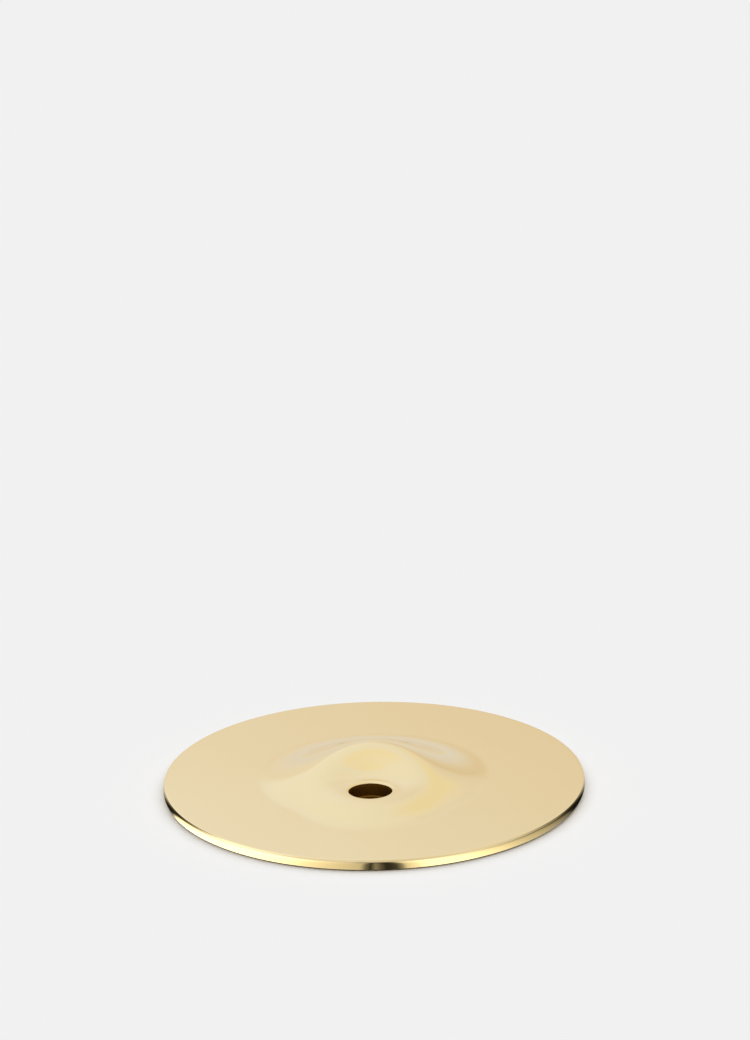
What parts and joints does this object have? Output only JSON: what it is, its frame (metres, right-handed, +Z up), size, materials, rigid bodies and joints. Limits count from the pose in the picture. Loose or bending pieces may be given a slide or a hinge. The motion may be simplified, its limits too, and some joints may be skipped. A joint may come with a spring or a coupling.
{
  "type": "disc candle holder",
  "caption": "Low round brass candle holder: a thin polished disc with a soft central hill and a round candle mouth in its front slope.",
  "frame": {"origin": "centre of the disc on the plane it stands on, the felt's underside", "axes": "+Z up along the disc's axis; the candle mouth is on the -Y side of the hill, which is the front; +X to the right seen from the front"},
  "size_m": [0.22, 0.22, 0.0229],
  "materials": {
    "polished_brass": "polished",
    "cup_brass": "satin",
    "plate_steel": "satin",
    "dark_felt": "felt",
    "boss_brass": "satin",
    "screw_steel": "satin"
  },
  "bodies": {
    "root": {"top_shell": "polished_brass", "candle_cup": "cup_brass", "base_plate": "plate_steel", "felt_pad": "dark_felt", "boss_1": "boss_brass", "boss_2": "boss_brass", "boss_3": "boss_brass", "boss_4": "boss_brass", "screw_1": "screw_steel", "screw_2": "screw_steel", "screw_3": "screw_steel", "screw_4": "screw_steel"}
  },
  "joints": []
}
